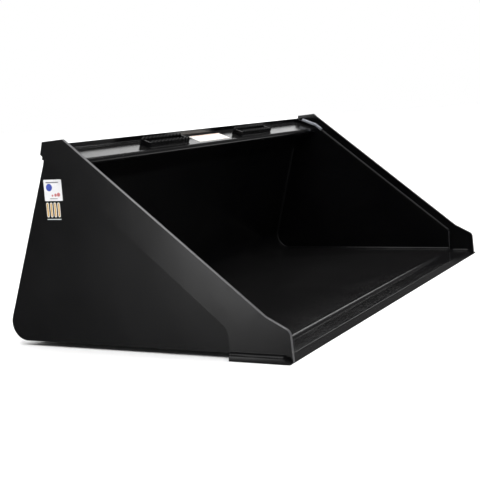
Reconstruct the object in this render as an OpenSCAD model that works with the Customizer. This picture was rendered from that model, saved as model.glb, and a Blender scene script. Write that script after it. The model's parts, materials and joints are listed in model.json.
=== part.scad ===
// Skid steer bucket: a welded sheet-steel bucket with side cutters, a cutting edge, a formed top rail
// with grip steps, and a quick-attach mount on its back.
// X runs across the bucket, the lip points toward -Y and Z is up.
// The origin is on the resting surface, under the middle of the bucket.

/* [Overall] */
// Length of the cutting edge, which is the widest piece
edge_len = 1524; // [1200:1:2000]
// From the lip's tip back to the side sheets' rear bottom corner
bucket_depth = 811; // [640:1:1000]
// Height of the side cutters' top front corner above the floor's underside
side_h = 502; // [400:1:640]

/* [Sheet] */
// Thickness of the floor, back and side sheets
sheet_t = 6.35; // [4:0.05:9]
// Lean of the side sheets' rear edges from upright, in degrees
rear_lean = 20.6; // [12:0.1:26]
// Lean of the back from upright, in degrees
back_lean = 15.5; // [8:0.1:22]
// From the side sheets' rear corner forward to the back's outer face, at floor level
back_setback = 38; // [20:1:80]
// Inside radius of the bend between floor and back
heel_bend_r = 50; // [25:1:90]
// Radius of the side sheets' rear bottom corners
heel_corner_r = 45; // [20:1:80]
// How far the back's top edge is below the side cutters' top corner
back_drop = 13; // [5:0.5:30]
// How far the side sheets' top edges are below the side cutters' top corner
sheet_drop = 48; // [30:1:70]
// How far the side sheets' sloped front edges stand back from the side cutters' edges
sheet_inset = 30; // [15:1:50]

/* [Side cutters] */
// Thickness of the side cutters
cutter_t = 9.5; // [6:0.1:16]
// Length of the flat top of the ear
ear_len = 60; // [30:1:100]
// How much lower the ear's rear corner is than its front corner
ear_fall = 3.5; // [0:0.5:10]
// Height of the ear's rear edge
ear_h = 31; // [15:1:60]
// Height of the bend in the front edge above the floor's underside
kink_h = 88.5; // [60:0.5:130]
// Distance of the bend in the front edge behind the lip's tip
kink_back = 62; // [40:1:100]
// Height of the nose corner above the floor's underside
nose_h = 58.5; // [40:0.5:90]
// Distance of the nose corner behind the lip's tip
nose_back = 4; // [0:0.5:20]
// Radius of the nose corner
nose_r = 18; // [5:1:30]
// Height of the lower rear corner above the floor's underside
band_corner_h = 56.5; // [30:0.5:90]
// Radius of the lower rear corner
band_corner_r = 36; // [5:1:50]

/* [Cutting edge] */
// Thickness of the cutting edge, and of the wear bars
edge_t = 12.7; // [9:0.1:20]
// Depth of the cutting edge from front to rear
edge_depth = 152.4; // [120:0.1:210]
// Length of the bevel on the front of the cutting edge
bevel_len = 18; // [8:1:40]
// Height of the blunt face at the lip's tip
tip_h = 2; // [1:0.1:4]
// How far each end stands out past the side cutter
edge_overhang = 15.5; // [5:0.5:30]
// How far the floor laps over the cutting edge
floor_lap = 68.5; // [40:0.5:100]
// How far the side cutters' rear bottom corner is ahead of the cutting edge's rear
cutter_gap = 5; // [1:0.5:20]

/* [Top rail] */
// Thickness of the formed rail
rail_t = 6.35; // [4:0.05:9]
// Slope of the rail's top face, in degrees
rail_top_slope = 22; // [5:1:35]
// Slope of the rail's underside, in degrees
rail_under_slope = 30.5; // [20:1:45]
// Outside radius of the rail's nose
rail_nose_r = 10; // [8:0.5:16]
// Centre of the nose, in front of the back's inner face
rail_reach = 64; // [40:1:90]
// Centre of the nose, below the back's top edge
rail_nose_drop = 47.5; // [40:0.5:70]
// How far the plates at the rail's ends stand above its top face
rail_end_rise = 10.5; // [4:0.5:14]

/* [Grip steps] */
// Length of each grip step
step_len = 207; // [120:1:300]
// Distance of each step's middle from the middle of the pair
step_offset = 268; // [160:1:400]
// How far the middle of the pair is to the right of the middle of the bucket
step_shift = 15; // [-40:1:40]
// Width of each step, from its front wall to its rear wall
step_w = 34; // [24:1:44]
// Height of the walls under the teeth
step_wall_h = 16; // [6:0.5:24]
// Height of the teeth
tooth_h = 7; // [3:0.5:10]
// Teeth along each wall
tooth_count = 11; // [5:1:20]
// Sheet thickness of the steps
step_t = 3; // [2:0.1:5]
// Width of the flange in front of and behind the walls
step_flange = 3; // [2:0.5:5]
// From the start of the nose's round back to the front flange
step_setback = 2; // [0:0.5:10]

/* [Quick-attach mount] */
// Length of the hook plate and of the pin plate
mount_len = 1143; // [900:1:1180]
// Thickness of the mount's plates
mount_t = 9.5; // [6:0.1:14]
// Length of the hook plate's leg on the back
hook_leg = 70; // [50:1:100]
// Length of the hook plate's sloped lip
hook_lip = 44; // [30:1:60]
// Slope of the hook's lip below level, in degrees
hook_slope = 40; // [25:1:60]
// How far the hook plate's top is below the back's top edge
hook_top_drop = 3; // [2:0.5:10]
// Height of the pin plate's flange above the floor's underside
pin_plate_h = 74; // [60:1:110]
// Height of the pin plate's leg on the back
pin_leg = 60; // [40:1:90]
// How far the pin plate's flange stands out from the back
pin_reach = 58; // [48:1:80]
// Distance between the centres of the two pin slots
slot_spacing = 850; // [700:1:880]
// Width of each pin slot
slot_w = 35; // [25:0.5:38]
// Length of each pin slot
slot_len = 64; // [45:0.5:90]
// Width of the end plates, measured out from the back
end_plate_w = 46; // [34:1:60]
// Length of each mount pad along the bucket
pad_len = 230; // [150:1:300]
// Height of the pin gussets
pin_gusset_h = 28; // [15:1:30]
// Distance of each pin gusset from its slot's centre
pin_gusset_offset = 62; // [48:1:90]

/* [Wear bars] */
// Width of each wear bar
wear_w = 76; // [50:1:120]
// From the side sheets' rear corner forward to the bars' rear ends
wear_setback = 140; // [100:1:200]
// Spacing of the wear bars
wear_spacing = 480; // [300:1:560]
// Gap between the wear bars' fronts and the cutting edge
wear_gap = 20; // [8:1:60]

/* [Welds] */
// Leg of the small fillet welds
weld_leg = 6; // [3:0.5:9]
// How far the weld at the floor's front edge reaches onto the cutting edge
lip_weld_reach = 9.5; // [6:0.5:14]
// Leg of the heavy welds above the rail's ends, up the side cutters
heavy_weld_leg = 9; // [6:0.5:12]
// How far each heavy weld goes on down the side sheet's front edge
heavy_weld_run = 30; // [10:1:60]
// Gap between each heavy weld and the back
heavy_weld_gap = 12; // [4:1:30]
// Gap between the ends of two beads in line
bead_gap = 1; // [0.5:0.5:4]
// Length of each stitch of a broken weld
stitch_len = 60; // [20:1:100]
// Stitches in the broken weld along the hook plate
stitch_count = 6; // [2:1:9]

/* [Decals] */
// Thickness of the decals
decal_t = 0.4; // [0.2:0.1:1]
// Width of the upper decal on the left side sheet
side_decal_w = 54; // [30:1:70]
// Height of the upper decal on the left side sheet
side_decal_h = 52; // [30:1:70]
// Width of the lower decal on the left side sheet
badge_decal_w = 50; // [30:1:70]
// Height of the lower decal on the left side sheet
badge_decal_h = 44; // [30:1:70]
// Length of the decal on the rail
rail_decal_len = 185; // [80:1:260]
// Width of the decal on the rail
rail_decal_w = 44; // [20:1:50]
// From the side sheet's rear edge forward to the side decal
decal_margin = 10; // [4:1:40]
// From the side cutters' top down to the side decal
decal_drop = 96; // [60:1:200]
// Gap between the two side decals
decal_gap = 3; // [1:0.5:20]
// Place of the rail decal's middle, right of the middle of the bucket
rail_decal_x = 15; // [-60:1:60]
// From the start of the nose's round back to the rail decal
rail_decal_setback = 8; // [2:0.5:20]

/* [Hidden] */
arc_step = 5;
// Half widths: the side cutters' outer faces, then the side sheets' outer and inner faces
cutter_out_x = edge_len / 2 - edge_overhang;
cutter_in_x = cutter_out_x - cutter_t;
inside_x = cutter_in_x - sheet_t;
// Heights in the profile, where 0 is the floor's underside
back_top_z = side_h - back_drop;
sheet_top_z = side_h - sheet_drop;
// Places along the profile, where 0 is the side sheets' rear bottom corner
tip_y = -bucket_depth;
edge_rear_y = tip_y + edge_depth;
floor_front_y = edge_rear_y - floor_lap;
// The profile is moved so that the origin is under the middle of the whole bucket
pin_plate_rear_y = back_y(pin_plate_h) + pin_reach;
rear_y = max(pin_plate_rear_y, rear_most(heel_corner_r));
mid_y = (tip_y + rear_y) / 2;
// Thickness of the back measured level, because the back leans
back_t_level = sheet_t / cos(back_lean);
// The rail's nose
nose_z = back_top_z - rail_nose_drop;
nose_y = front_y(nose_z) - rail_reach;

// Where the back's outer face is at a height, and its inner face
function back_y(z) = -back_setback - z * tan(back_lean);
function front_y(z) = back_y(z) - back_t_level;
// Where a side sheet's rear edge is at a height, and how far back its round corner reaches
function sheet_rear_y(z) = -z * tan(rear_lean);
function rear_most(r) = -r * (1 + sin(rear_lean)) / cos(rear_lean) + r;

function arc(c, r, a0, a1) = let (n = max(2, ceil(abs(a1 - a0) / arc_step)))
    [for (i = [0:n]) let (a = a0 + (a1 - a0) * i / n) c + r * [cos(a), sin(a)]];
function unit(v) = v / norm(v);
// A rounded corner at b, on the way from a to c
function round_corner(a, b, c, r) =
    let (u = unit(a - b), v = unit(c - b), half = acos(u * v) / 2)
    let (centre = b + unit(u + v) * r / sin(half))
    let (start = b + u * r / tan(half) - centre, finish = b + v * r / tan(half) - centre)
    let (a0 = atan2(start[1], start[0]), turn = atan2(finish[1], finish[0]) - a0)
    let (sweep = turn > 180 ? turn - 360 : turn < -180 ? turn + 360 : turn)
    arc(centre, r, a0, a0 + sweep);
// Where two lines cross, each given by a point and a direction, and the cross product that it needs
function cross_z(a, b) = a[0] * b[1] - a[1] * b[0];
function crossing(p, u, q, v) = p + u * cross_z(q - p, v) / cross_z(u, v);

// The rail's section
top_dir = [cos(rail_top_slope), sin(rail_top_slope)];
top_normal = [-top_dir[1], top_dir[0]];
under_dir = [cos(rail_under_slope), -sin(rail_under_slope)];
under_normal = [under_dir[1], -under_dir[0]];
nose_centre = [nose_y, nose_z];
nose_top = nose_centre + top_normal * rail_nose_r;
back_dir = [-sin(back_lean), cos(back_lean)];
back_normal = [cos(back_lean), sin(back_lean)];
back_foot = [front_y(0), 0];
rail_crown = crossing(nose_top, top_dir, back_foot, back_dir);
rail_seam = crossing(nose_centre + under_normal * rail_nose_r, under_dir, back_foot, back_dir);
rail_inner_r = rail_nose_r - rail_t;
// The bend between floor and back, on its inside
heel = [front_y(sheet_t), sheet_t];
heel_half_angle = (90 - back_lean) / 2;
heel_centre = heel + unit(back_dir - [1, 0]) * heel_bend_r / sin(heel_half_angle);
// The side cutter's corners
ear_front = [back_y(side_h) - ear_len, side_h];
ear_rear = [back_y(side_h - ear_fall), side_h - ear_fall];
ear_foot = [back_y(side_h - ear_fall - ear_h), side_h - ear_fall - ear_h];
kink = [tip_y + kink_back, kink_h];
nose = [tip_y + nose_back, nose_h];
band_corner = [edge_rear_y + cutter_gap, band_corner_h];
slope_dir = unit(kink - ear_front);
slope_normal = [slope_dir[1], -slope_dir[0]];
// The side sheet's sloped front edge
inset_point = ear_front - slope_normal * sheet_inset;
sheet_rear_top = [sheet_rear_y(sheet_top_z), sheet_top_z];
sheet_top_front = crossing(inset_point, slope_dir, nose_top, unit(sheet_rear_top - nose_top));
sheet_toe = crossing(inset_point, slope_dir, [floor_front_y, 0], [0, 1]);
// The plate at the rail's end carries the sheet's sloped edge on, and then runs above the rail
rise_foot = nose_top + top_normal * rail_end_rise;
rail_end_front = crossing(inset_point, slope_dir, rise_foot, top_dir);
rail_end_rear = crossing(rise_foot, top_dir, back_foot, back_dir);

// The hook plate's corners
hook_top_z = back_top_z - hook_top_drop;
hook_top = [back_y(hook_top_z), hook_top_z];
hook_foot = hook_top - back_dir * hook_leg;
lip_dir = [cos(hook_slope), -sin(hook_slope)];
lip_normal = [sin(hook_slope), cos(hook_slope)];
lip_end = hook_top + back_normal * mount_t + lip_dir * hook_lip;
hook_corner = crossing(hook_top, back_normal, lip_end, lip_dir);
// The pin plate's leg: its top, and its thickness measured level
pin_leg_top_z = pin_plate_h + pin_leg;
leg_t_level = mount_t / cos(back_lean);

// The side decal's upper rear corner
decal_top_z = side_h - decal_drop;
decal_corner = [sheet_rear_y(decal_top_z) - decal_margin, decal_top_z];

// Moves the profile's frame to the part's frame
module place() {
    translate([0, -mid_y, edge_t])
        children();
}

// Extrudes a profile drawn in Y and Z from x0 to x1
module across(x0, x1) {
    translate([x0, 0, 0])
        rotate([90, 0, 90])
            linear_extrude(x1 - x0)
                children();
}

// A copy for the left or right side: side is -1 for left and 1 for right
module on_side(side) {
    if (side < 0)
        mirror([1, 0, 0])
            children();
    else
        children();
}

// A three-sided bead from one point of the profile to another.
// It stands leg_x toward -X from x, and leg_n along the normal on the left of its path.
module bead(p, q, x, leg_x, leg_n) {
    run = q - p;
    translate([x, p[0], p[1]])
        rotate([atan2(run[1], run[0]), 0, 0])
            translate([0, norm(run), 0])
                rotate([90, 0, 0])
                    linear_extrude(norm(run))
                        polygon([[0, 0], [-leg_x, 0], [0, leg_n]]);
}

// The part of the profile on the left of a line that goes through p along u
module left_of(p, u) {
    translate(p)
        rotate(atan2(u[1], u[0]))
            translate([-edge_len, 0])
                square([2 * edge_len, edge_len]);
}

// Cuts a bead off on the left of a line that goes through p along u
module cut_left_of(p, u) {
    difference() {
        children();
        across(0, edge_len)
            left_of(p, u);
    }
}

module shell_sheet() {
    floor_in = [floor_front_y, sheet_t];
    top_in = [front_y(back_top_z), back_top_z];
    heel_out = [back_y(0), 0];
    floor_out = [floor_front_y, 0];
    top_out = [back_y(back_top_z), back_top_z];
    color("#1d1d1f")
        place()
            across(-inside_x, inside_x)
                polygon(concat(
                    [floor_out],
                    round_corner(floor_out, heel_out, top_out, heel_bend_r + sheet_t),
                    [top_out, top_in],
                    round_corner(top_in, heel, floor_in, heel_bend_r),
                    [floor_in]));
}

module side_sheet(side) {
    rear_foot = [0, 0];
    front_foot = [floor_front_y, 0];
    color("#232325")
        place()
            on_side(side)
                across(inside_x, cutter_in_x)
                    polygon(concat(
                        [front_foot],
                        round_corner(front_foot, rear_foot, sheet_rear_top, heel_corner_r),
                        [sheet_rear_top, sheet_top_front, sheet_toe]));
}

module side_cutter(side) {
    bevel_foot = [tip_y + bevel_len, 0];
    tip_top = [tip_y, tip_h - edge_t];
    rear_foot = [band_corner[0], 0];
    color("#2c2c2f")
        place()
            on_side(side)
                across(cutter_in_x, cutter_out_x)
                    polygon(concat(
                        [ear_rear, ear_front, kink],
                        round_corner(kink, nose, tip_top, nose_r),
                        [tip_top, bevel_foot, rear_foot],
                        round_corner(rear_foot, band_corner, ear_foot, band_corner_r),
                        [ear_foot]));
}

module cutting_edge() {
    color("#1a1a1c")
        place()
            across(-edge_len / 2, edge_len / 2)
                polygon([
                    [edge_rear_y, -edge_t],
                    [edge_rear_y, 0],
                    [tip_y + bevel_len, 0],
                    [tip_y, tip_h - edge_t],
                    [tip_y, -edge_t]]);
}

module top_rail() {
    top_angle = atan2(top_normal[1], top_normal[0]);
    under_angle = atan2(under_normal[1], under_normal[0]) + 360;
    inner_crown = crossing(nose_centre + top_normal * rail_inner_r, top_dir, back_foot, back_dir);
    inner_seam = crossing(nose_centre + under_normal * rail_inner_r, under_dir, back_foot, back_dir);
    color("#8c8c90")
        place()
            across(-inside_x, inside_x)
                polygon(concat(
                    [rail_crown],
                    arc(nose_centre, rail_nose_r, top_angle, under_angle),
                    [rail_seam, inner_seam],
                    arc(nose_centre, rail_inner_r, under_angle, top_angle),
                    [inner_crown]));
}

// Moves to the rail's top face: X along the rail, Y up the slope from the nose, Z out of the face
module on_rail_top() {
    place()
        translate([0, nose_top[0], nose_top[1]])
            rotate([rail_top_slope, 0, 0])
                children();
}

// One wall of a step with its teeth, drawn in X and Z
module step_wall() {
    pitch = step_len / tooth_count;
    saw = [for (i = [0:tooth_count - 1], k = [0, 0.5])
        [i * pitch + k * pitch, step_wall_h + (k > 0 ? tooth_h : 0)]];
    rotate([90, 0, 0])
        linear_extrude(step_t)
            polygon(concat([[0, 0]], saw, [[step_len, step_wall_h], [step_len, 0]]));
}

module step(side) {
    base_w = step_w + 2 * step_flange;
    color("#3a3a3d")
        on_rail_top()
            translate([step_shift + side * step_offset - step_len / 2, step_setback, 0]) {
                cube([step_len, base_w, step_t]);
                translate([0, step_flange + step_t, 0])
                    step_wall();
                translate([0, step_flange + step_w, 0])
                    step_wall();
                for (x = [0, step_len - step_t])
                    translate([x, step_flange, 0])
                        cube([step_t, step_w, step_wall_h]);
            }
}

module hook_plate() {
    lip_under = lip_end - lip_normal * mount_t;
    inner_corner = crossing(hook_foot + back_normal * mount_t, back_dir, lip_under, lip_dir);
    color("#242426")
        place()
            across(-mount_len / 2, mount_len / 2)
                polygon([
                    hook_foot,
                    hook_foot + back_normal * mount_t,
                    inner_corner,
                    lip_under,
                    lip_end,
                    hook_corner,
                    hook_top]);
}

// The pin plate's section: a leg on the back and a level flange
module pin_plate_section() {
    flange_top = pin_plate_h + mount_t;
    polygon([
        [back_y(pin_plate_h), pin_plate_h],
        [pin_plate_rear_y, pin_plate_h],
        [pin_plate_rear_y, flange_top],
        [back_y(flange_top) + leg_t_level, flange_top],
        [back_y(pin_leg_top_z) + leg_t_level, pin_leg_top_z],
        [back_y(pin_leg_top_z), pin_leg_top_z]]);
}

module pin_slot(x) {
    straight = slot_len - slot_w;
    slot_y = pin_plate_rear_y - (pin_reach - mount_t) / 2;
    translate([x, slot_y, pin_plate_h - 1])
        linear_extrude(mount_t + 2)
            union() {
                square([straight, slot_w], center = true);
                for (end = [-1, 1])
                    translate([end * straight / 2, 0])
                        circle(d = slot_w, $fn = 64);
            }
}

module pin_plate() {
    color("#242426")
        place()
            difference() {
                across(-mount_len / 2, mount_len / 2)
                    pin_plate_section();
                for (side = [-1, 1])
                    pin_slot(side * slot_spacing / 2);
            }
}

// Closes one end of the hook plate and the pin plate, and guides the loader's coupler sideways
module end_plate(side) {
    low = [back_y(pin_leg_top_z), pin_leg_top_z] + back_normal * end_plate_w;
    high = hook_foot + back_normal * end_plate_w;
    color("#242426")
        place()
            on_side(side)
                across(mount_len / 2, mount_len / 2 + mount_t)
                    polygon([
                        [back_y(pin_plate_h), pin_plate_h],
                        [pin_plate_rear_y, pin_plate_h],
                        [pin_plate_rear_y, pin_plate_h + mount_t],
                        low,
                        high,
                        lip_end,
                        hook_corner,
                        hook_top]);
}

// A flat plate on the back that the coupler bears on, between the hook plate's leg and the pin plate's leg
module mount_pad(side) {
    low = [back_y(pin_leg_top_z), pin_leg_top_z];
    color("#242426")
        place()
            on_side(side)
                across(mount_len / 2 - pad_len, mount_len / 2)
                    polygon([
                        low,
                        [low[0] + leg_t_level, low[1]],
                        hook_foot + back_normal * mount_t,
                        hook_foot]);
}

// Two small upright plates under the pin plate, one on each side of a slot
module pin_gussets(side) {
    foot_z = pin_plate_h - pin_gusset_h;
    color("#242426")
        place()
            on_side(side)
                for (offset = [-pin_gusset_offset, pin_gusset_offset])
                    translate([slot_spacing / 2 + offset - mount_t / 2, 0, 0])
                        across(0, mount_t)
                            polygon([
                                [back_y(foot_z), foot_z],
                                [pin_plate_rear_y - mount_t, pin_plate_h],
                                [back_y(pin_plate_h), pin_plate_h]]);
}

module wear_bar(index) {
    front = edge_rear_y + wear_gap;
    color("#1a1a1c")
        place()
            translate([index * wear_spacing - wear_w / 2, front, -edge_t])
                cube([wear_w, -wear_setback - front, edge_t]);
}

// The plate that carries a side sheet on upward, past the rail's end and a little above the rail
module rail_end_filler(side) {
    back_foot_z = sheet_rear_top[1];
    color("#333336")
        place()
            on_side(side)
                across(inside_x, cutter_in_x)
                    polygon([
                        sheet_top_front,
                        sheet_rear_top,
                        [back_y(back_foot_z), back_foot_z],
                        [back_y(back_top_z), back_top_z],
                        [front_y(back_top_z), back_top_z],
                        rail_end_rear,
                        rail_end_front]);
}

// The heavy weld between that plate's top edge and the side cutter. Its two runs meet in a mitre.
module weld_rail_end(side) {
    mitre_dir = unit(top_dir + slope_dir);
    overrun = sheet_t * 3;
    color("#6a6a6e")
        place()
            on_side(side) {
                cut_left_of(rail_end_front, mitre_dir)
                    bead(rail_end_front + slope_dir * heavy_weld_run, rail_end_front - slope_dir * overrun,
                        cutter_in_x, sheet_t, heavy_weld_leg);
                cut_left_of(rail_end_front, -mitre_dir)
                    bead(rail_end_front - top_dir * overrun, rail_end_rear - top_dir * heavy_weld_gap,
                        cutter_in_x, sheet_t, heavy_weld_leg);
            }
}

// A long bead across the bucket in a corner of the profile. Its two legs are the vectors u and v.
module cross_bead(corner, u, v, x0, x1) {
    across(x0, x1)
        polygon([corner, corner + u, corner + v]);
}

module weld_rail_seam() {
    color("#333336")
        place()
            cross_bead(rail_seam, -under_dir * weld_leg, -back_dir * weld_leg,
                weld_leg - inside_x, inside_x - weld_leg);
}

module weld_rail_crown() {
    end_x = inside_x - bead_gap;
    leg = weld_leg / 2;
    color("#333336")
        place()
            cross_bead(rail_crown, -top_dir * leg, back_dir * leg, -end_x, end_x);
}

module weld_floor_lip() {
    color("#333336")
        place()
            cross_bead([floor_front_y, 0], [-lip_weld_reach, 0], [0, sheet_t], -cutter_in_x, cutter_in_x);
}

// The bead inside the bucket, where one side sheet meets the floor, the heel's bend and the back.
// In front of the floor it goes on along the side cutter, on top of the cutting edge.
module weld_inside(side) {
    color("#333336")
        place()
            on_side(side) {
                bead([tip_y + bevel_len, 0], [floor_front_y - lip_weld_reach, 0], cutter_in_x,
                    weld_leg, weld_leg);
                across(inside_x - weld_leg, inside_x)
                    polygon(concat(
                        [[floor_front_y, sheet_t]],
                        arc(heel_centre, heel_bend_r, -90, back_lean),
                        [rail_seam, rail_seam - back_normal * weld_leg],
                        arc(heel_centre, heel_bend_r - weld_leg, back_lean, -90),
                        [[floor_front_y, sheet_t + weld_leg]]));
            }
}

// The bead where a side cutter laps the side sheet's sloped front edge, up to the heavy weld
module weld_side(side) {
    upper_end = rail_end_front + slope_dir * (heavy_weld_run + bead_gap);
    color("#333336")
        place()
            on_side(side)
                bead(sheet_toe, upper_end, cutter_in_x, sheet_t, sheet_t);
}

// The bead on top of one protruding end of the cutting edge
module weld_edge_end(side) {
    rear = band_corner[0];
    color("#333336")
        place()
            on_side(side)
                mirror([1, 0, 0])
                    bead([tip_y + bevel_len, 0], [rear, 0], -cutter_out_x, weld_leg * 2, weld_leg);
}

// Where stitch number i of a broken weld starts, measured from its middle
function stitch_start(i) = (i - (stitch_count - 1) / 2) * mount_len / stitch_count - stitch_len / 2;

module weld_hook_top() {
    leg = hook_top_drop / cos(back_lean);
    color("#333336")
        place()
            for (i = [0:stitch_count - 1])
                cross_bead(hook_top, back_normal * leg, back_dir * leg,
                    stitch_start(i), stitch_start(i) + stitch_len);
}

module weld_pin_plate() {
    color("#333336")
        place()
            for (side = [-1, 1])
                on_side(side)
                    cross_bead([back_y(pin_leg_top_z), pin_leg_top_z], back_normal * weld_leg,
                        back_dir * weld_leg, 0, mount_len / 2 - pad_len);
}

module weld_wear_bars() {
    front = edge_rear_y + wear_gap;
    color("#333336")
        place()
            for (index = [-1:1])
                cross_bead([front, 0], [-weld_leg, 0], [0, -weld_leg],
                    index * wear_spacing - wear_w / 2, index * wear_spacing + wear_w / 2);
}

// A thin decal on the left side sheet's outer face. Its upper rear corner is at [y, z].
module side_label(corner, w, h) {
    translate([-cutter_in_x - decal_t, corner[0] - w, corner[1] - h])
        cube([decal_t, w, h]);
}

module decal_side() {
    color("#f2f2f2")
        place()
            side_label(decal_corner, side_decal_w, side_decal_h);
}

module decal_badge() {
    color("#c9a45c")
        place()
            side_label(decal_corner - [0, side_decal_h + decal_gap], badge_decal_w, badge_decal_h);
}

module decal_rail() {
    color("#f0dccb")
        on_rail_top()
            translate([rail_decal_x - rail_decal_len / 2, rail_decal_setback, 0])
                cube([rail_decal_len, rail_decal_w, decal_t]);
}

shell_sheet();
side_sheet(-1);  // side_sheet_left
side_sheet(1);  // side_sheet_right
side_cutter(-1);  // side_cutter_left
side_cutter(1);  // side_cutter_right
cutting_edge();
top_rail();
step(-1);  // step_left
step(1);  // step_right
hook_plate();
pin_plate();
end_plate(-1);  // end_plate_left
end_plate(1);  // end_plate_right
mount_pad(-1);  // mount_pad_left
mount_pad(1);  // mount_pad_right
pin_gussets(-1);  // pin_gussets_left
pin_gussets(1);  // pin_gussets_right
wear_bar(-1);  // wear_bar_left
wear_bar(0);  // wear_bar_center
wear_bar(1);  // wear_bar_right
rail_end_filler(-1);  // rail_end_filler_left
rail_end_filler(1);  // rail_end_filler_right
weld_rail_end(-1);  // weld_rail_end_left
weld_rail_end(1);  // weld_rail_end_right
weld_rail_seam();
weld_rail_crown();
weld_floor_lip();
weld_inside(-1);  // weld_inside_left
weld_inside(1);  // weld_inside_right
weld_side(-1);  // weld_side_left
weld_side(1);  // weld_side_right
weld_edge_end(-1);  // weld_edge_end_left
weld_edge_end(1);  // weld_edge_end_right
weld_hook_top();
weld_pin_plate();
weld_wear_bars();
decal_side();
decal_badge();
decal_rail();
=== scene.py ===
# Skid steer bucket: black enamel over welded steel, seen from its front left on a pale studio floor.
import json
import math
import bmesh
import bpy
import numpy as np
from mathutils import Matrix, Vector


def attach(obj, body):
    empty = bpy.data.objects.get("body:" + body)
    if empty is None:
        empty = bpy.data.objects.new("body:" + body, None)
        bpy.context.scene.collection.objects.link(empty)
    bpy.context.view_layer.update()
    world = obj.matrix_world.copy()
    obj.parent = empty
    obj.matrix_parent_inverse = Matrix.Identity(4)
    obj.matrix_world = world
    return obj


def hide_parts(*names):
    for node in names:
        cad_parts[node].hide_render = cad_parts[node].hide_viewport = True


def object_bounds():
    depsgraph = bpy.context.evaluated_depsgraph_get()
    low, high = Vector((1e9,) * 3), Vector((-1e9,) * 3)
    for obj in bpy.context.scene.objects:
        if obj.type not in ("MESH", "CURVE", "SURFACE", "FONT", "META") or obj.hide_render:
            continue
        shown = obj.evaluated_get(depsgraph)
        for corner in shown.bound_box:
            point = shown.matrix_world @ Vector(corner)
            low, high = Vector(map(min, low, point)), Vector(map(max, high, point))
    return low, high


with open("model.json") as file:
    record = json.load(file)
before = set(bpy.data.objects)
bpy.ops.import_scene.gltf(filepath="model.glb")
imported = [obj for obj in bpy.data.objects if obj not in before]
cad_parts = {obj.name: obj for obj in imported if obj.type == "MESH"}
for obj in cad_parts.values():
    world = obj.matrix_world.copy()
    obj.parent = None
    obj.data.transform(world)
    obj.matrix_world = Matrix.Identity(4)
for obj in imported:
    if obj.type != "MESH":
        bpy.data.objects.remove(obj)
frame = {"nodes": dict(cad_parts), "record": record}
cad_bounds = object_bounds()
NODES = frame["nodes"]
MM = 0.001
X, Y, Z = Vector((1, 0, 0)), Vector((0, 1, 0)), Vector((0, 0, 1))

# Camera: where it stands round the middle of the bucket, and where it points
VIEW_AZIMUTH = -63.4
VIEW_ELEVATION = 5.92
VIEW_DISTANCE = 3.014
VIEW_AIM = Vector((-0.066, 0.074, -0.088))
VIEW_ROLL = 4.0
VIEW_LENS = 75.75
SENSOR = 36.0


def place_camera():
    low, high = cad_bounds
    centre = (low + high) / 2
    azimuth, elevation = math.radians(VIEW_AZIMUTH), math.radians(VIEW_ELEVATION)
    back = Vector((math.sin(azimuth) * math.cos(elevation), -math.cos(azimuth) * math.cos(elevation),
                   math.sin(elevation)))
    data = bpy.data.cameras.new("camera")
    data.lens = VIEW_LENS
    data.sensor_width = SENSOR
    camera = bpy.data.objects.new("camera", data)
    bpy.context.collection.objects.link(camera)
    camera.location = centre + back * VIEW_DISTANCE
    look = (centre + VIEW_AIM - camera.location).to_track_quat("-Z", "Y")
    roll = Matrix.Rotation(math.radians(-VIEW_ROLL), 4, "Z")
    camera.rotation_mode = "QUATERNION"
    camera.rotation_quaternion = (look.to_matrix().to_4x4() @ roll).to_quaternion()
    bpy.context.scene.camera = camera


place_camera()


# ---- Node trees -------------------------------------------------------------------------------------

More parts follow.
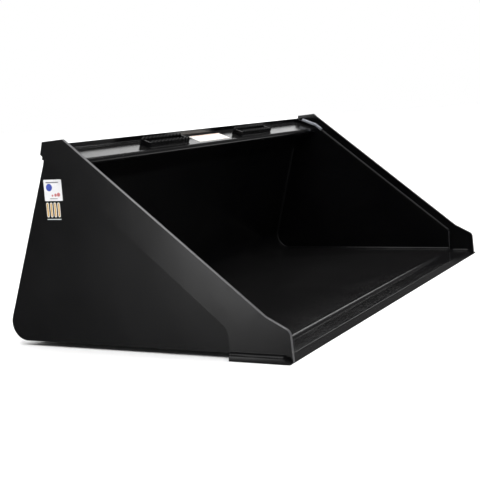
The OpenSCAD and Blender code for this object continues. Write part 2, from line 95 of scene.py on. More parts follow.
class Graph:
    """Short calls that add shader nodes to one node tree. A socket or a plain value can be any input."""

    def __init__(self, tree):
        self.tree = tree
        self.tree.nodes.clear()

    def add(self, kind, inputs=None, **settings):
        node = self.tree.nodes.new(kind)
        for name, value in settings.items():
            setattr(node, name, value)
        for name, value in (inputs or {}).items():
            self.feed(node.inputs[name], value)
        return node

    def feed(self, socket, value):
        if isinstance(value, bpy.types.NodeSocket):
            self.tree.links.new(value, socket)
        elif isinstance(value, tuple) and len(value) == 3 and socket.type == "RGBA":
            socket.default_value = (*value, 1)
        else:
            socket.default_value = value

    def math(self, operation, a, b=0.0):
        return self.add("ShaderNodeMath", {0: a, 1: b}, operation=operation).outputs[0]

    def span(self, value, low, high, out_low=0.0, out_high=1.0):
        """Maps low..high of a value to out_low..out_high, and holds it at the ends."""
        inputs = {0: value, 1: low, 2: high, 3: out_low, 4: out_high}
        return self.add("ShaderNodeMapRange", inputs).outputs[0]

    def blend(self, factor, a, b):
        node = self.add("ShaderNodeMix", data_type="RGBA")
        for name, kind, value in (("Factor", "VALUE", factor), ("A", "RGBA", a), ("B", "RGBA", b)):
            self.feed(next(s for s in node.inputs if s.name == name and s.type == kind), value)
        return next(s for s in node.outputs if s.type == "RGBA")

    def dot(self, a, b):
        return self.add("ShaderNodeVectorMath", {0: a, 1: b}, operation="DOT_PRODUCT").outputs["Value"]

    def place(self, stretch=(1, 1, 1)):
        """The point's place in the part's own frame, in metres, times a stretch for each axis."""
        point = self.add("ShaderNodeTexCoord").outputs["Object"]
        return self.add("ShaderNodeVectorMath", {0: point, 1: stretch}, operation="MULTIPLY").outputs[0]

    def noise(self, scale, detail=2.0, roughness=0.5, distortion=0.0, stretch=(1, 1, 1)):
        """Noise with features about 1/scale metres wide."""
        inputs = {"Vector": self.place(stretch), "Scale": scale, "Detail": detail, "Roughness": roughness,
                  "Distortion": distortion}
        return self.add("ShaderNodeTexNoise", inputs).outputs["Fac"]

    def facing(self):
        """The surface's direction along X, Y and Z."""
        normal = self.add("ShaderNodeNewGeometry").outputs["True Normal"]
        return self.add("ShaderNodeSeparateXYZ", {0: normal}).outputs

    def edges(self, radius):
        """About 0 on flat surfaces and 1 on edges, within a radius in metres."""
        rounded = self.add("ShaderNodeBevel", {"Radius": radius}, samples=EDGE_SAMPLES).outputs[0]
        true = self.add("ShaderNodeNewGeometry").outputs["True Normal"]
        return self.span(self.dot(rounded, true), EDGE_FLAT, EDGE_TURNED)

    def bump(self, height, distance, below=None, strength=1.0):
        """Relief of a depth in metres, laid over another relief if one is given."""
        inputs = {"Height": height, "Strength": strength, "Distance": distance}
        if below is not None:
            inputs["Normal"] = below
        return self.add("ShaderNodeBump", inputs).outputs[0]

    def finish(self, **inputs):
        named = {name.replace("_", " "): value for name, value in inputs.items()}
        shader = self.add("ShaderNodeBsdfPrincipled", named)
        output = self.add("ShaderNodeOutputMaterial")
        self.tree.links.new(shader.outputs[0], output.inputs["Surface"])


def new_graph(name):
    material = bpy.data.materials.new(name)
    material.use_nodes = True
    return material, Graph(material.node_tree)


# ---- Materials --------------------------------------------------------------------------------------

BLACK = (0.0022, 0.0022, 0.0025)
BLACK_LIGHT = (0.0034, 0.0034, 0.0037)
# A pale film for faces that look up: partly dust, and partly painted light for the light they catch from
# above
DUST_AND_TOP_LIGHT = (0.060, 0.057, 0.053)
WORN = (0.030, 0.030, 0.032)
# Painted highlight: the light greys of cut plate edges stand in for the overhead light those edges catch
CUT_EDGE_HIGHLIGHT_DARK = (0.040, 0.040, 0.042)
CUT_EDGE_HIGHLIGHT_BRIGHT = (0.085, 0.085, 0.088)
IOR_ENAMEL = 1.5
IOR_SIDE = 1.39
IOR_VINYL = 1.46
# The cosine between a face and its rounded neighbour where an edge starts, and where it is fully an edge
EDGE_FLAT, EDGE_TURNED = 0.995, 0.9
EDGE_SAMPLES = 4
# Enamel's noises, as features per metre
CLOUDS, TOP_FILM_PATCHES, SMUDGES, SCUFFS, CHIPS = 5, 7, 14, 60, 90
WAVES, PEEL, SPECKS, CUT_LINES, MILL_LINES = 3.2, 330, 900, 620, 90
# Depths of its relief, and the width of the edges that wear
WAVE_DEPTH, SPECK_DEPTH, CUT_DEPTH, MILL_DEPTH = 0.9 * MM, 0.05 * MM, 0.16 * MM, 0.02 * MM
WORN_WIDTH = 0.8 * MM
# How much of the worn colour scuffs and worn edges show, and what each mark adds to the roughness
SCUFF_TINT, CHIP_TINT = 0.02, 0.40
SMUDGE_ROUGH, SCUFF_ROUGH, CUT_ROUGH = 0.03, 0.04, 0.22
# The spread of the roughness round its middle
GLOSS_LOW, GLOSS_HIGH = 0.92, 1.08


def enamel(name, gloss, dust, peel, cut_edges=False, mill=False, ior=IOR_ENAMEL):
    """Black enamel over steel. gloss is the roughness of clean paint, and dust sets the share of a pale film
    on
    faces that look up: partly dust, and partly painted light for the light those faces catch from above.
    peel is the depth of the paint's orange peel in metres. With cut edges, plates that stand across X get
    the fine lines and roughness of flame-cut edges, and a light grey on those edges that is a painted
    highlight for the overhead light they catch. mill gives the long faint ripple of rolled bar that lies
    along X."""
    material, g = new_graph(name)
    facing = g.facing()
    cloud = g.noise(CLOUDS, detail=6, roughness=0.6)
    colour = g.blend(g.span(cloud, 0.35, 0.65), BLACK, BLACK_LIGHT)
    # Partly painted light: faces that look up are made lighter in patches, partly as dust and partly
    # standing in for the light from above
    patches = g.span(g.noise(TOP_FILM_PATCHES, detail=8, roughness=0.7), 0.25, 0.75, 0.5, 1.0)
    dust_and_top_light_mask = g.math("MULTIPLY", g.span(facing["Z"], 0.35, 0.95), patches)
    colour = g.blend(g.math("MULTIPLY", dust_and_top_light_mask, dust), colour, DUST_AND_TOP_LIGHT)
    smudges = g.span(g.noise(SMUDGES, detail=5, roughness=0.62, stretch=(0.35, 1, 1)), 0.50, 0.66)
    scuffs = g.noise(SCUFFS, detail=4, roughness=0.6, distortion=0.6, stretch=(1, 0.08, 0.12))
    scuffs = g.span(scuffs, 0.66, 0.74)
    colour = g.blend(g.math("MULTIPLY", scuffs, SCUFF_TINT), colour, WORN)
    chips = g.span(g.noise(CHIPS, detail=4, roughness=0.6), 0.42, 0.60)
    worn = g.math("MULTIPLY", g.edges(WORN_WIDTH), chips)
    colour = g.blend(g.math("MULTIPLY", worn, CHIP_TINT), colour, WORN)
    clean = g.span(cloud, 0.3, 0.7, gloss * GLOSS_LOW, gloss * GLOSS_HIGH)
    rough = g.math("ADD", clean, g.math("MULTIPLY", smudges, SMUDGE_ROUGH))
    rough = g.math("ADD", rough, g.math("MULTIPLY", scuffs, SCUFF_ROUGH))
    relief = g.bump(g.noise(WAVES), WAVE_DEPTH)
    if cut_edges:
        # Painted highlight: a light grey on the cut edges stands in for the overhead light they catch; the
        # fine lines, roughness and relief are the cut's own
        edge = g.span(g.math("ABSOLUTE", facing["X"]), 0.6, 0.3)
        lines = g.noise(CUT_LINES, detail=3, roughness=0.7, stretch=(0.02, 1, 1))
        tone = g.blend(g.span(lines, 0.35, 0.65), CUT_EDGE_HIGHLIGHT_DARK, CUT_EDGE_HIGHLIGHT_BRIGHT)
        colour = g.blend(edge, colour, tone)
        rough = g.math("ADD", rough, g.math("MULTIPLY", edge, CUT_ROUGH))
        relief = g.bump(g.math("MULTIPLY", lines, edge), CUT_DEPTH, relief)
    if mill:
        ripple = g.noise(MILL_LINES, detail=4, roughness=0.6, stretch=(0.04, 1, 1))
        relief = g.bump(ripple, MILL_DEPTH, relief)
    relief = g.bump(g.noise(PEEL), peel, relief)
    relief = g.bump(g.span(g.noise(SPECKS, detail=1, roughness=0.4), 0.70, 0.80), SPECK_DEPTH, relief)
    g.finish(Base_Color=colour, Roughness=rough, IOR=ior, Normal=relief)
    return material


WELD_BLUE = (0.42, 0.45, 0.52)
WELD_SILVER = (0.66, 0.68, 0.72)
SOOT = (0.05, 0.05, 0.055)
WELD_METALLIC = 0.75
WELD_GRAIN = 0.03 * MM


def bright_weld(name):
    """Weld metal that shows through a thin coat: silver with a blue heat tint, and soot in patches."""
    material, g = new_graph(name)
    tint = g.blend(g.span(g.noise(130, 3, 0.6), 0.35, 0.65), WELD_BLUE, WELD_SILVER)
    soot = g.span(g.noise(300, 4, 0.7), 0.52, 0.68, 0.0, 0.5)
    tint = g.blend(soot, tint, SOOT)
    rough = g.span(g.noise(220, 3, 0.6), 0.3, 0.7, 0.28, 0.42)
    grain = g.bump(g.noise(500), WELD_GRAIN)
    g.finish(Base_Color=tint, Metallic=WELD_METALLIC, Roughness=rough, Normal=grain)
    return material


HALFTONE = 0.85
FADE, FADE_LIFT = 0.93, 0.02
FILM_WAVES = 0.03 * MM


def vinyl(name, colour):
    """Printed vinyl: one ink colour with a faint halftone and faded patches, and a satin, wavy face."""
    material, g = new_graph(name)
    darker = tuple(c * HALFTONE for c in colour)
    tone = g.blend(g.span(g.noise(1500, 1, 0.3), 0.42, 0.60), darker, colour)
    faded = tuple(c * FADE + FADE_LIFT for c in colour)
    tone = g.blend(g.span(g.noise(40, 4, 0.6), 0.45, 0.70), tone, faded)
    rough = g.span(g.noise(70, 3, 0.6), 0.3, 0.7, 0.26, 0.38)
    g.finish(Base_Color=tone, Roughness=rough, IOR=IOR_VINYL, Normal=g.bump(g.noise(160), FILM_WAVES))
    return material


FLOOR_TONES = (0.88, 0.88, 0.88), (0.92, 0.92, 0.92)
FLOOR_GRAIN = 0.2 * MM


def floor_finish():
    """A pale, matt studio floor."""
    material, g = new_graph("studio_floor")
    tone = g.blend(g.noise(1.5, detail=3), *FLOOR_TONES)
    rough = g.span(g.noise(8, detail=3), 0.3, 0.7, 0.62, 0.72)
    g.finish(Base_Color=tone, Roughness=rough, Normal=g.bump(g.noise(60), FLOOR_GRAIN, strength=0.2))
    return material


MATERIALS = {
    "body_paint": enamel("body_paint", gloss=0.17, dust=0.065, peel=0.030 * MM),
    "cutter_paint": enamel("cutter_paint", gloss=0.16, dust=0.0, peel=0.030 * MM, cut_edges=True),
    "edge_paint": enamel("edge_paint", gloss=0.16, dust=0.03, peel=0.010 * MM, mill=True),
    "step_paint": enamel("step_paint", gloss=0.24, dust=0.04, peel=0.025 * MM),
    "weld_paint": enamel("weld_paint", gloss=0.16, dust=0.02, peel=0.020 * MM),
    "decal_white": vinyl("decal_white", (0.86, 0.86, 0.87)),
    "decal_gold": vinyl("decal_gold", (0.62, 0.36, 0.09)),
    "decal_cream": vinyl("decal_cream", (0.90, 0.84, 0.78)),
}
BRIGHT_WELD = bright_weld("bright_weld")
SIDE_PAINT = enamel("side_paint", gloss=0.21, dust=0.0, peel=0.030 * MM, cut_edges=True, ior=IOR_SIDE)
INKS = {
    "ink_blue": vinyl("ink_blue", (0.035, 0.070, 0.42)),
    "ink_red": vinyl("ink_red", (0.55, 0.16, 0.16)),
    "ink_grey": vinyl("ink_grey", (0.22, 0.22, 0.24)),
    "ink_salmon": vinyl("ink_salmon", (0.72, 0.42, 0.32)),
    "ink_pearl": vinyl("ink_pearl", (0.62, 0.66, 0.66)),
    "ink_pale": vinyl("ink_pale", (0.85, 0.82, 0.76)),
}


# ---- CAD pieces: paint, softened corners and smooth bends ---------------------------------------------

def smooth_group(angle):
    """A geometry node group that shades smooth, but for edges sharper than an angle."""
    group = bpy.data.node_groups.new("smooth_shading", "GeometryNodeTree")
    group.interface.new_socket("Geometry", in_out="INPUT", socket_type="NodeSocketGeometry")
    group.interface.new_socket("Geometry", in_out="OUTPUT", socket_type="NodeSocketGeometry")
    add, link = group.nodes.new, group.links.new
    start, end = add("NodeGroupInput"), add("NodeGroupOutput")
    plain = add("GeometryNodeRemoveAttribute")
    plain.inputs["Name"].default_value = "custom_normal"
    faces, creases = add("GeometryNodeSetShadeSmooth"), add("GeometryNodeSetShadeSmooth")
    creases.domain = "EDGE"
    creases.inputs["Shade Smooth"].default_value = False
    bend, sharp = add("GeometryNodeInputMeshEdgeAngle"), add("FunctionNodeCompare")
    sharp.operation = "GREATER_THAN"
    sharp.inputs[1].default_value = angle
    link(bend.outputs[0], sharp.inputs[0])
    link(sharp.outputs[0], creases.inputs["Selection"])
    link(start.outputs[0], plain.inputs[0])
    link(plain.outputs[0], faces.inputs[0])
    link(faces.outputs[0], creases.inputs[0])
    link(creases.outputs[0], end.inputs[0])
    return group


SMOOTH = smooth_group(math.radians(25))
CORNER_ANGLE = math.radians(28)
CORNER_SEGMENTS = 2
FLAT_FACE_WEIGHT = 90
SAME_POINT = 0.01 * MM
SAME_PLANE = math.radians(0.5)


def soften(piece, radius):
    """Rounds a piece's sharp corners to a radius, shades its bends smooth and keeps its flat faces flat."""
    weld = piece.modifiers.new("join", "WELD")
    weld.merge_threshold = SAME_POINT
    if radius:
        bevel = piece.modifiers.new("corners", "BEVEL")
        bevel.width = radius
        bevel.segments = CORNER_SEGMENTS
        bevel.limit_method = "ANGLE"
        bevel.angle_limit = CORNER_ANGLE
        bevel.use_clamp_overlap = True
    shade = piece.modifiers.new("shading", "NODES")
    shade.node_group = SMOOTH
    flat = piece.modifiers.new("flat_faces", "WEIGHTED_NORMAL")
    flat.keep_sharp = True
    flat.weight = FLAT_FACE_WEIGHT


# The radius of each kind of piece's corners, by how its name starts, and of all others
CORNERS = {"side_cutter": 1.2 * MM, "cutting_edge": 0.8 * MM, "wear_bar": 1.2 * MM, "step": 0.5 * MM}
PLATE_CORNER = 0.7 * MM


def paint_cad_nodes():
    """Gives each CAD node its slot's paint and its corners. The side sheets and their upward fillers have a
    paint of their own."""
    slots = {part["node"]: part["material_slot"] for part in frame["record"]["subparts"]}
    for name, piece in NODES.items():
        piece.data.materials.clear()
        side = name.startswith("side_sheet") or name.startswith("rail_end_filler")
        piece.data.materials.append(SIDE_PAINT if side else MATERIALS[slots[name]])
        radius = next((r for start, r in CORNERS.items() if name.startswith(start)), PLATE_CORNER)
        soften(piece, radius)


# ---- Welds: rippled beads in place of the plain prisms ------------------------------------------------

RINGS_PER_RIPPLE = 5
FEWEST_RINGS = 12
FACE_POINTS = 7
# A line of edges goes on while its next edge lies this nearly along the last, as a cosine
STRAIGHT_ON = 0.75
# How deep an end face may lie under a solid's farthest point
END_DEPTH = 0.05 * MM
# How finely places, in metres, and areas, in square metres, are told apart in sorting keys
KEY_DIGITS, AREA_DIGITS = 6, 9
# A bead's height sways over these lengths, by a share of its bulge, and its ripples drift out of step
SWAY_LENGTHS = (0.011, 0.023, 0.051)
SWAY_TURN = 6.28
SWAY_SHARE = 0.25
DRIFT = 0.04
# How far a ripple's middle runs ahead of its ends, in ripples, its height at the toes, and its lowest point
CRESCENT = 0.55
TOE_RIPPLE = 0.35
RIPPLE_SINK = 0.3
# A bead's ends narrow over a length to a share of its size
END_TAPER = 4 * MM
END_SIZE = 0.25


def merged(node):
    """A CAD node's mesh with doubled vertices merged and the triangles of a flat face joined."""
    mesh = bmesh.new()
    mesh.from_mesh(NODES[node].data)
    bmesh.ops.remove_doubles(mesh, verts=mesh.verts, dist=SAME_POINT)
    bmesh.ops.dissolve_limit(mesh, angle_limit=SAME_PLANE, verts=mesh.verts, edges=mesh.edges)
    return mesh


def islands(mesh):
    """The mesh's separate solids, as sets of vertices."""
    left = set(mesh.verts)
    while left:
        found, edge = set(), [left.pop()]
        while edge:
            vertex = edge.pop()
            found.add(vertex)
            near = {e.other_vert(vertex) for e in vertex.link_edges} - found
            edge.extend(near & left)
            left -= near
        yield found


def walk(start, step):
    """The line of edges from a vertex that goes on as straight as it can, away from its end face."""
    line, direction = [start], (step.co - start.co).normalized()
    while True:
        line.append(step)
        ways = [(e.other_vert(step).co - step.co).normalized() for e in step.link_edges]
        others = [e.other_vert(step) for e in step.link_edges]
        best = max(range(len(ways)), key=lambda i: ways[i].dot(direction))
        if ways[best].dot(direction) < STRAIGHT_ON:
            break
        direction, step = ways[best], others[best]
    return np.array([v.co[:] for v in line])


def sort_key(*values, digits=KEY_DIGITS):
    """Values rounded for sorting, so that a near tie is left to the next value and not to chance."""
    return tuple(round(value, digits) for value in values)


def area_key(face):
    return sort_key(face.calc_area(), digits=AREA_DIGITS) + sort_key(*face.calc_center_median())


def rails(solid, corner_way, start_way=None):
    """The three lines along a bead's solid: its corner line, and its two toe lines. corner_way points from
    the bead to its corner, and start_way to the end where the lines start, if not at the smallest face."""
    if start_way is None:
        faces = {f for v in solid for f in v.link_faces}
        end = set(min(faces, key=area_key).verts)
    else:
        reach = max(v.co.dot(start_way) for v in solid)
        end = {v for v in solid if v.co.dot(start_way) > reach - END_DEPTH}
    order = sorted(end, key=lambda v: sort_key(v.co.dot(corner_way), *v.co))
    lines = []
    for vertex in reversed(order[-3:]):
        onward = next(e.other_vert(vertex) for e in vertex.link_edges if e.other_vert(vertex) not in end)
        lines.append(walk(vertex, onward))
    return lines


def resample(line, shares):
    """Points along a line at shares of its stations, from 0 to 1 with equal steps for each of its points."""
    stations = np.linspace(0, 1, len(line))
    return np.stack([np.interp(shares, stations, line[:, k]) for k in range(3)], axis=1)


def bead_mesh(lines, pitch, ripple, crown, random):
    """Vertices and faces of one rippled bead: a convex face between its toe lines, crossed by crescents."""
    corner = lines[0]
    lengths = np.linalg.norm(np.diff(corner, axis=0), axis=1)
    total = lengths.sum()
    count = max(FEWEST_RINGS, int(total / pitch * RINGS_PER_RIPPLE))
    along = np.linspace(0, total, count + 1)
    shares = np.interp(along, np.concatenate([[0], np.cumsum(lengths)]), np.linspace(0, 1, len(corner)))
    inner, a, b = (resample(line, shares) for line in lines)
    out = (a + b) / 2 - inner
    out /= np.linalg.norm(out, axis=1)[:, None]
    width = np.linalg.norm(a - b, axis=1)
    sway = sum(np.sin(along / length + random.uniform(0, SWAY_TURN)) for length in SWAY_LENGTHS)
    sway /= len(SWAY_LENGTHS)
    drift = np.cumsum(random.normal(0, DRIFT, count + 1))
    columns = []
    for k in range(FACE_POINTS):
        t = k / (FACE_POINTS - 1)
        arch = 4 * t * (1 - t)
        phase = (along / pitch + drift - CRESCENT * arch) % 1.0
        scallop = np.sqrt(np.clip(1 - (2 * phase - 1) ** 2, 0, 1)) * (TOE_RIPPLE + (1 - TOE_RIPPLE) * arch)
        lift = arch * width * crown * (1 + SWAY_SHARE * sway) + ripple * (scallop - RIPPLE_SINK)
        columns.append(a * (1 - t) + b * t + out * lift[:, None])
    columns.append(inner)
    taper = np.clip(np.minimum(along, total - along) / END_TAPER, 0, 1)
    size = END_SIZE + (1 - END_SIZE) * np.sqrt(1 - (1 - taper) ** 2)
    points = np.stack(columns, axis=1)
    points = inner[:, None, :] + (points - inner[:, None, :]) * size[:, None, None]
    ring = len(columns)
    faces = []
    for i in range(count):
        for k in range(ring):
            k2 = (k + 1) % ring
            faces.append((i * ring + k, i * ring + k2, (i + 1) * ring + k2, (i + 1) * ring + k))
    faces.append(tuple(range(ring - 1, -1, -1)))
    faces.append(tuple(count * ring + k for k in range(ring)))
    return points.reshape(-1, 3), faces


def make_piece(name, points, faces, materials, face_materials=None):
    """A closed mesh with its faces turned outward. face_materials gives each face's place in materials."""
    mesh = bpy.data.meshes.new(name)
    mesh.from_pydata([tuple(p) for p in points], [], faces)
    for material in materials:
        mesh.materials.append(material)
    if face_materials:
        mesh.polygons.foreach_set("material_index", face_materials)
    solid = bmesh.new()
    solid.from_mesh(mesh)
    bmesh.ops.recalc_face_normals(solid, faces=solid.faces)
    solid.to_mesh(mesh)
    solid.free()
    piece = bpy.data.objects.new(name, mesh)
    bpy.context.collection.objects.link(piece)
    return piece


# For each weld: the way to its corner on the right-hand side, its ripples' pitch and height, how far its
# face bulges as a share of its width, and the way to the end where its lines start
SMALL, LONG, HEAVY = (5 * MM, 0.6 * MM, 0.12), (6.5 * MM, 0.8 * MM, 0.14), (10 * MM, 2.2 * MM, 0.18)
WELDS = {
    "weld_rail_end": (X + 0.5 * Y - Z, HEAVY, None),
    "weld_rail_seam": (Y + 0.2 * Z, SMALL, None),
    "weld_rail_crown": (Y - 2 * Z, SMALL, None),
    "weld_floor_lip": (Y - Z, LONG, None),
    "weld_inside": (X - Z, SMALL, -Y),
    "weld_side": (X + Y - Z, SMALL, None),
    "weld_edge_end": (-X - Z, LONG, None),
    "weld_hook_top": (-Z - 0.3 * Y, SMALL, None),
    "weld_pin_plate": (-Y - Z, LONG, None),
    "weld_wear_bars": (Y + Z, SMALL, None),
}


def solid_key(solid):
    """Sorts the solids of a weld, those at the left and the front first."""
    x, y, z = (min(v.co[k] for v in solid) for k in range(3))
    return sort_key(x + y, x, y, z)


def make_weld(node, seed):
    """Rippled beads in place of one weld node, one for each of its solids."""
    base = node.replace("_left", "").replace("_right", "")
    way, (pitch, ripple, crown), start = WELDS[base]
    if node.endswith("_left"):
        way = Vector((-way.x, way.y, way.z))
    random = np.random.default_rng(seed)
    mesh = merged(node)
    points, faces = [], []
    for solid in sorted(islands(mesh), key=solid_key):
        new_points, new_faces = bead_mesh(rails(solid, way, start), pitch, ripple, crown, random)
        offset = sum(len(p) for p in points)
        points.append(new_points)
        faces += [tuple(i + offset for i in face) for face in new_faces]
    mesh.free()
    finish = BRIGHT_WELD if ripple == HEAVY[1] else MATERIALS["weld_paint"]
    piece = make_piece(node + "_bead", np.concatenate(points), faces, [finish])
    soften(piece, 0)
    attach(piece, "root")
    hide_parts(node)


# ---- Decals: thin printed films with plain shapes -----------------------------------------------------

def plate_frame(node, corner_way, u_way, v_way):
    """A corner of a flat plate, and its edges from there: u and v along its face, and n through it."""
    mesh = merged(node)
    corner = max(mesh.verts, key=lambda v: v.co.dot(corner_way))
    edges = [e.other_vert(corner).co - corner.co for e in corner.link_edges]
    u = max(edges, key=lambda e: e.normalized().dot(u_way))
    v = max(edges, key=lambda e: e.normalized().dot(v_way))
    n = min(edges, key=lambda e: e.length)
    found = corner.co.copy(), u.copy(), v.copy(), n.copy()
    mesh.free()
    return found


ROUND_STEPS = 5


def rounded_box(u0, v0, u1, v1, radius):
    """Outline of a box with round corners."""
    points = []
    for cu, cv, turn in ((u1, v0, -90), (u1, v1, 0), (u0, v1, 90), (u0, v0, 180)):
        middle_u = cu - math.copysign(radius, cu - (u0 + u1) / 2)
        middle_v = cv - math.copysign(radius, cv - (v0 + v1) / 2)
        for i in range(ROUND_STEPS + 1):
            angle = math.radians(turn + 90 * i / ROUND_STEPS)
            points.append((middle_u + radius * math.cos(angle), middle_v + radius * math.sin(angle)))
    return points


def print_film(name, node, plate, shapes):
    """A film with printed shapes. Each shape is an outline in metres, a low and a high share of the film's
    thickness, and a material."""
    corner, u, v, n = plate
    u_way, v_way = u.normalized(), v.normalized()
    points, faces, inks, materials = [], [], [], []
    for outline, low, high, material in shapes:
        if material not in materials:
            materials.append(material)
        first, size = len(points), len(outline)
        for share in (low, high):
            points += [corner + u_way * pu + v_way * pv + n * share for pu, pv in outline]
        faces.append(tuple(range(first + size, first + 2 * size)))
        faces.append(tuple(range(first + size - 1, first - 1, -1)))
        faces += [(first + i, first + (i + 1) % size, first + size + (i + 1) % size, first + size + i)
                  for i in range(size)]
        inks += [materials.index(material)] * (size + 2)
    piece = make_piece(name, points, faces, materials, inks)
    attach(piece, "root")
    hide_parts(node)


# The tops of a label's film and of the ink on it, as shares of the decal node's thickness
FILM, INK_TOP = 0.7, 1.0


class Label:
    """Shapes on one label, placed by shares of its width and height."""

    def __init__(self, plate):
        self.width, self.height = plate[1].length, plate[2].length
        self.shapes = []

    def box(self, u0, v0, u1, v1, radius, material, low=FILM, high=INK_TOP):
        """A box with corners of a radius in metres."""
        w, h = self.width, self.height
        outline = rounded_box(u0 * w, v0 * h, u1 * w, v1 * h, radius)
        self.shapes.append((outline, low, high, material))

    def ink(self, u0, v0, u1, v1, round_share, ink):
        """A box of ink with corners rounded by a share of its shorter side."""
        radius = round_share * min((u1 - u0) * self.width, (v1 - v0) * self.height)
        self.box(u0, v0, u1, v1, radius, INKS[ink])

    def dot(self, u0, v0, across, ink):
        """A disc of ink, by its lower corner and its width as a share of the label's."""
        self.ink(u0, v0, u0 + across, v0 + across * self.width / self.height, 0.5, ink)


def make_side_decal():
    """A white label with two grey bars, a blue disc and three red dots of growing size."""
    plate = plate_frame("decal_side", Vector((1, 1, -1)), -Y, Z)
    label = Label(plate)
    label.box(0, 0, 1, 1, 0.03 * label.width, MATERIALS["decal_white"], low=0, high=FILM)
    label.ink(0.12, 0.84, 0.82, 0.895, 0.3, "ink_grey")
    label.ink(0.30, 0.09, 0.72, 0.125, 0.3, "ink_grey")
    label.dot(0.12, 0.46, 0.34, "ink_blue")
    for i in range(3):
        label.dot(0.40 + 0.15 * i, 0.20, 0.10 + 0.04 * i, "ink_red")
    print_film("side_label", "decal_side", plate, label.shapes)


BARS = 4
BAR_LEFT, BAR_WIDTH, BAR_GAP, BAR_FOOT, BAR_TOP, BAR_RIM = 0.05, 0.15, 0.075, 0.16, 0.98, 0.035
BAR_ROUND = 0.48


def make_badge_decal():
    """Four upright gold bars with pale rims over a thin pearl line."""
    plate = plate_frame("decal_badge", Vector((1, 1, -1)), -Y, Z)
    label = Label(plate)
    w = label.width
    rim_v = BAR_RIM * w / label.height
    for i in range(BARS):
        u0 = BAR_LEFT + i * (BAR_WIDTH + BAR_GAP)
        label.box(u0, BAR_FOOT, u0 + BAR_WIDTH, BAR_TOP, BAR_WIDTH * w * BAR_ROUND, INKS["ink_pale"],
                  low=0, high=FILM)
        label.box(u0 + BAR_RIM, BAR_FOOT + rim_v, u0 + BAR_WIDTH - BAR_RIM, BAR_TOP - rim_v,
                  (BAR_WIDTH - 2 * BAR_RIM) * w * BAR_ROUND, MATERIALS["decal_gold"])
    label.box(0.04, 0.02, 0.90, 0.07, 0.02 * label.height, INKS["ink_pearl"], low=0, high=FILM)
    print_film("side_bars", "decal_badge", plate, label.shapes)


def make_rail_decal():
    """A cream label with a pearl wedge and two salmon lines."""
    plate = plate_frame("decal_rail", Vector((-1, -1, -1)), X, Y)
    label = Label(plate)
    w, h = label.width, label.height
    label.box(0, 0, 1, 1, 0.05 * h, MATERIALS["decal_cream"], low=0, high=FILM)
    wedge = [(0.02 * w, 0.06 * h), (0.27 * w, 0.06 * h), (0.05 * w, 0.94 * h), (0.02 * w, 0.94 * h)]
    label.shapes.append((wedge, FILM, INK_TOP, INKS["ink_pearl"]))
    label.box(0.07, 0.90, 0.97, 0.965, 0.02 * h, INKS["ink_salmon"])
    label.box(0.36, 0.10, 0.97, 0.15, 0.02 * h, INKS["ink_salmon"])
    print_film("rail_label", "decal_rail", plate, label.shapes)


# ---- Studio -------------------------------------------------------------------------------------------

# The studio's soft boxes, as the bucket's paint reflects them. Each has an azimuth from +X towards +Y and an
# elevation, a half width and a half height, all in degrees, the share of it that is evenly bright, and a
# strength. From there they fade to their rims.
SOFT_BOXES = [
    (21.8, 22.2, 15, 10.5, 0.45, 1.5),  # far right, for the top rail's sloped face
    (152, -4.5, 5.3, 10.0, 0.0, 3.7),  # left, for the left cutter and side sheet
    (-27, -11, 10, 9, 0.3, 1.0),  # front, for the cutters' front edges
    (0, 90, 50, 50, 0.3, 1.1),  # overhead, for beads, corners and teeth
]
SURROUND = 0.12
BACKDROP = 1.0
FLOOR_HALF = 30.0
SUN_PLACE, SUN_POWER, SUN_ANGLE = (-0.6, -1.2, 6), 4.2, math.radians(80)
KEY_PLACE, KEY_AIM, KEY_POWER, KEY_SIZE = (2.2, -0.6, 3.2), (0.3, 0, 0.3), 25, 0.4


def soft_box(g, way, azimuth, elevation, half_width, half_height, core, strength):
    """The light of one box in a direction of the sky: an ellipse round the box's middle."""
    azimuth, elevation = math.radians(azimuth), math.radians(elevation)
    middle = Vector((math.cos(azimuth) * math.cos(elevation), math.sin(azimuth) * math.cos(elevation),
                     math.sin(elevation)))
    across = Vector((-math.sin(azimuth), math.cos(azimuth), 0))
    upward = middle.cross(across)
    reach = []
    for axis, half in ((across, half_width), (upward, half_height)):
        scaled = axis / math.sin(math.radians(half))
        reach.append(g.dot(way, scaled))
    front = g.dot(way, middle)
    square = g.math("ADD", g.math("MULTIPLY", reach[0], reach[0]), g.math("MULTIPLY", reach[1], reach[1]))
    rim = g.span(square, 1.0, core, 0.0, strength)
    return g.math("MULTIPLY", rim, g.math("GREATER_THAN", front, 0.0))


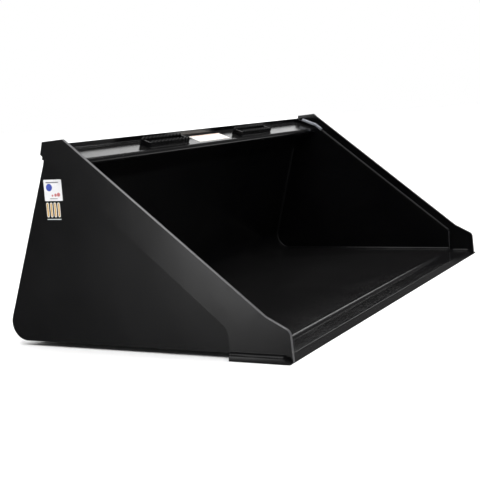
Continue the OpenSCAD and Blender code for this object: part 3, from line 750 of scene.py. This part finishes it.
def make_world():
    """The soft boxes on a dim surround. The camera itself sees an even white backdrop."""
    world = bpy.data.worlds.new("studio")
    bpy.context.scene.world = world
    world.use_nodes = True
    g = Graph(world.node_tree)
    way = g.add("ShaderNodeTexCoord").outputs["Generated"]
    light = SURROUND
    for box in SOFT_BOXES:
        light = g.math("ADD", light, soft_box(g, way, *box))
    seen = g.add("ShaderNodeLightPath").outputs["Is Camera Ray"]
    colour = g.blend(seen, light, (BACKDROP, BACKDROP, BACKDROP))
    background = g.add("ShaderNodeBackground", {"Color": colour, "Strength": 1.0})
    output = g.add("ShaderNodeOutputWorld")
    g.tree.links.new(background.outputs[0], output.inputs["Surface"])


def add_light(kind, name, place, aim, power, glossy, **shape):
    data = bpy.data.lights.new(name, kind)
    data.energy = power
    for setting, value in shape.items():
        setattr(data, setting, value)
    light = bpy.data.objects.new(name, data)
    light.location = place
    light.rotation_mode = "QUATERNION"
    light.rotation_quaternion = (Vector(aim) - Vector(place)).to_track_quat("-Z", "Y")
    light.visible_glossy = glossy
    bpy.context.collection.objects.link(light)


def make_studio():
    """A pale floor that the paint doesn't reflect, the soft boxes, and two lamps."""
    mesh = bpy.data.meshes.new("studio_floor")
    corners = [(x * FLOOR_HALF, y * FLOOR_HALF, 0) for x, y in ((-1, -1), (1, -1), (1, 1), (-1, 1))]
    mesh.from_pydata(corners, [], [(0, 1, 2, 3)])
    mesh.materials.append(floor_finish())
    floor = bpy.data.objects.new("studio_floor", mesh)
    floor.visible_glossy = False
    floor.visible_shadow = False
    bpy.context.collection.objects.link(floor)
    make_world()
    add_light("SUN", "overhead", SUN_PLACE, (0, 0, 0), SUN_POWER, glossy=False, angle=SUN_ANGLE)
    add_light("AREA", "key", KEY_PLACE, KEY_AIM, KEY_POWER, glossy=True, shape="DISK", size=KEY_SIZE)
    bpy.context.scene.view_settings.view_transform = "Standard"


paint_cad_nodes()
for number, weld_node in enumerate(sorted(n for n in NODES if n.startswith("weld_"))):
    make_weld(weld_node, seed=number)
make_side_decal()
make_badge_decal()
make_rail_decal()
make_studio()
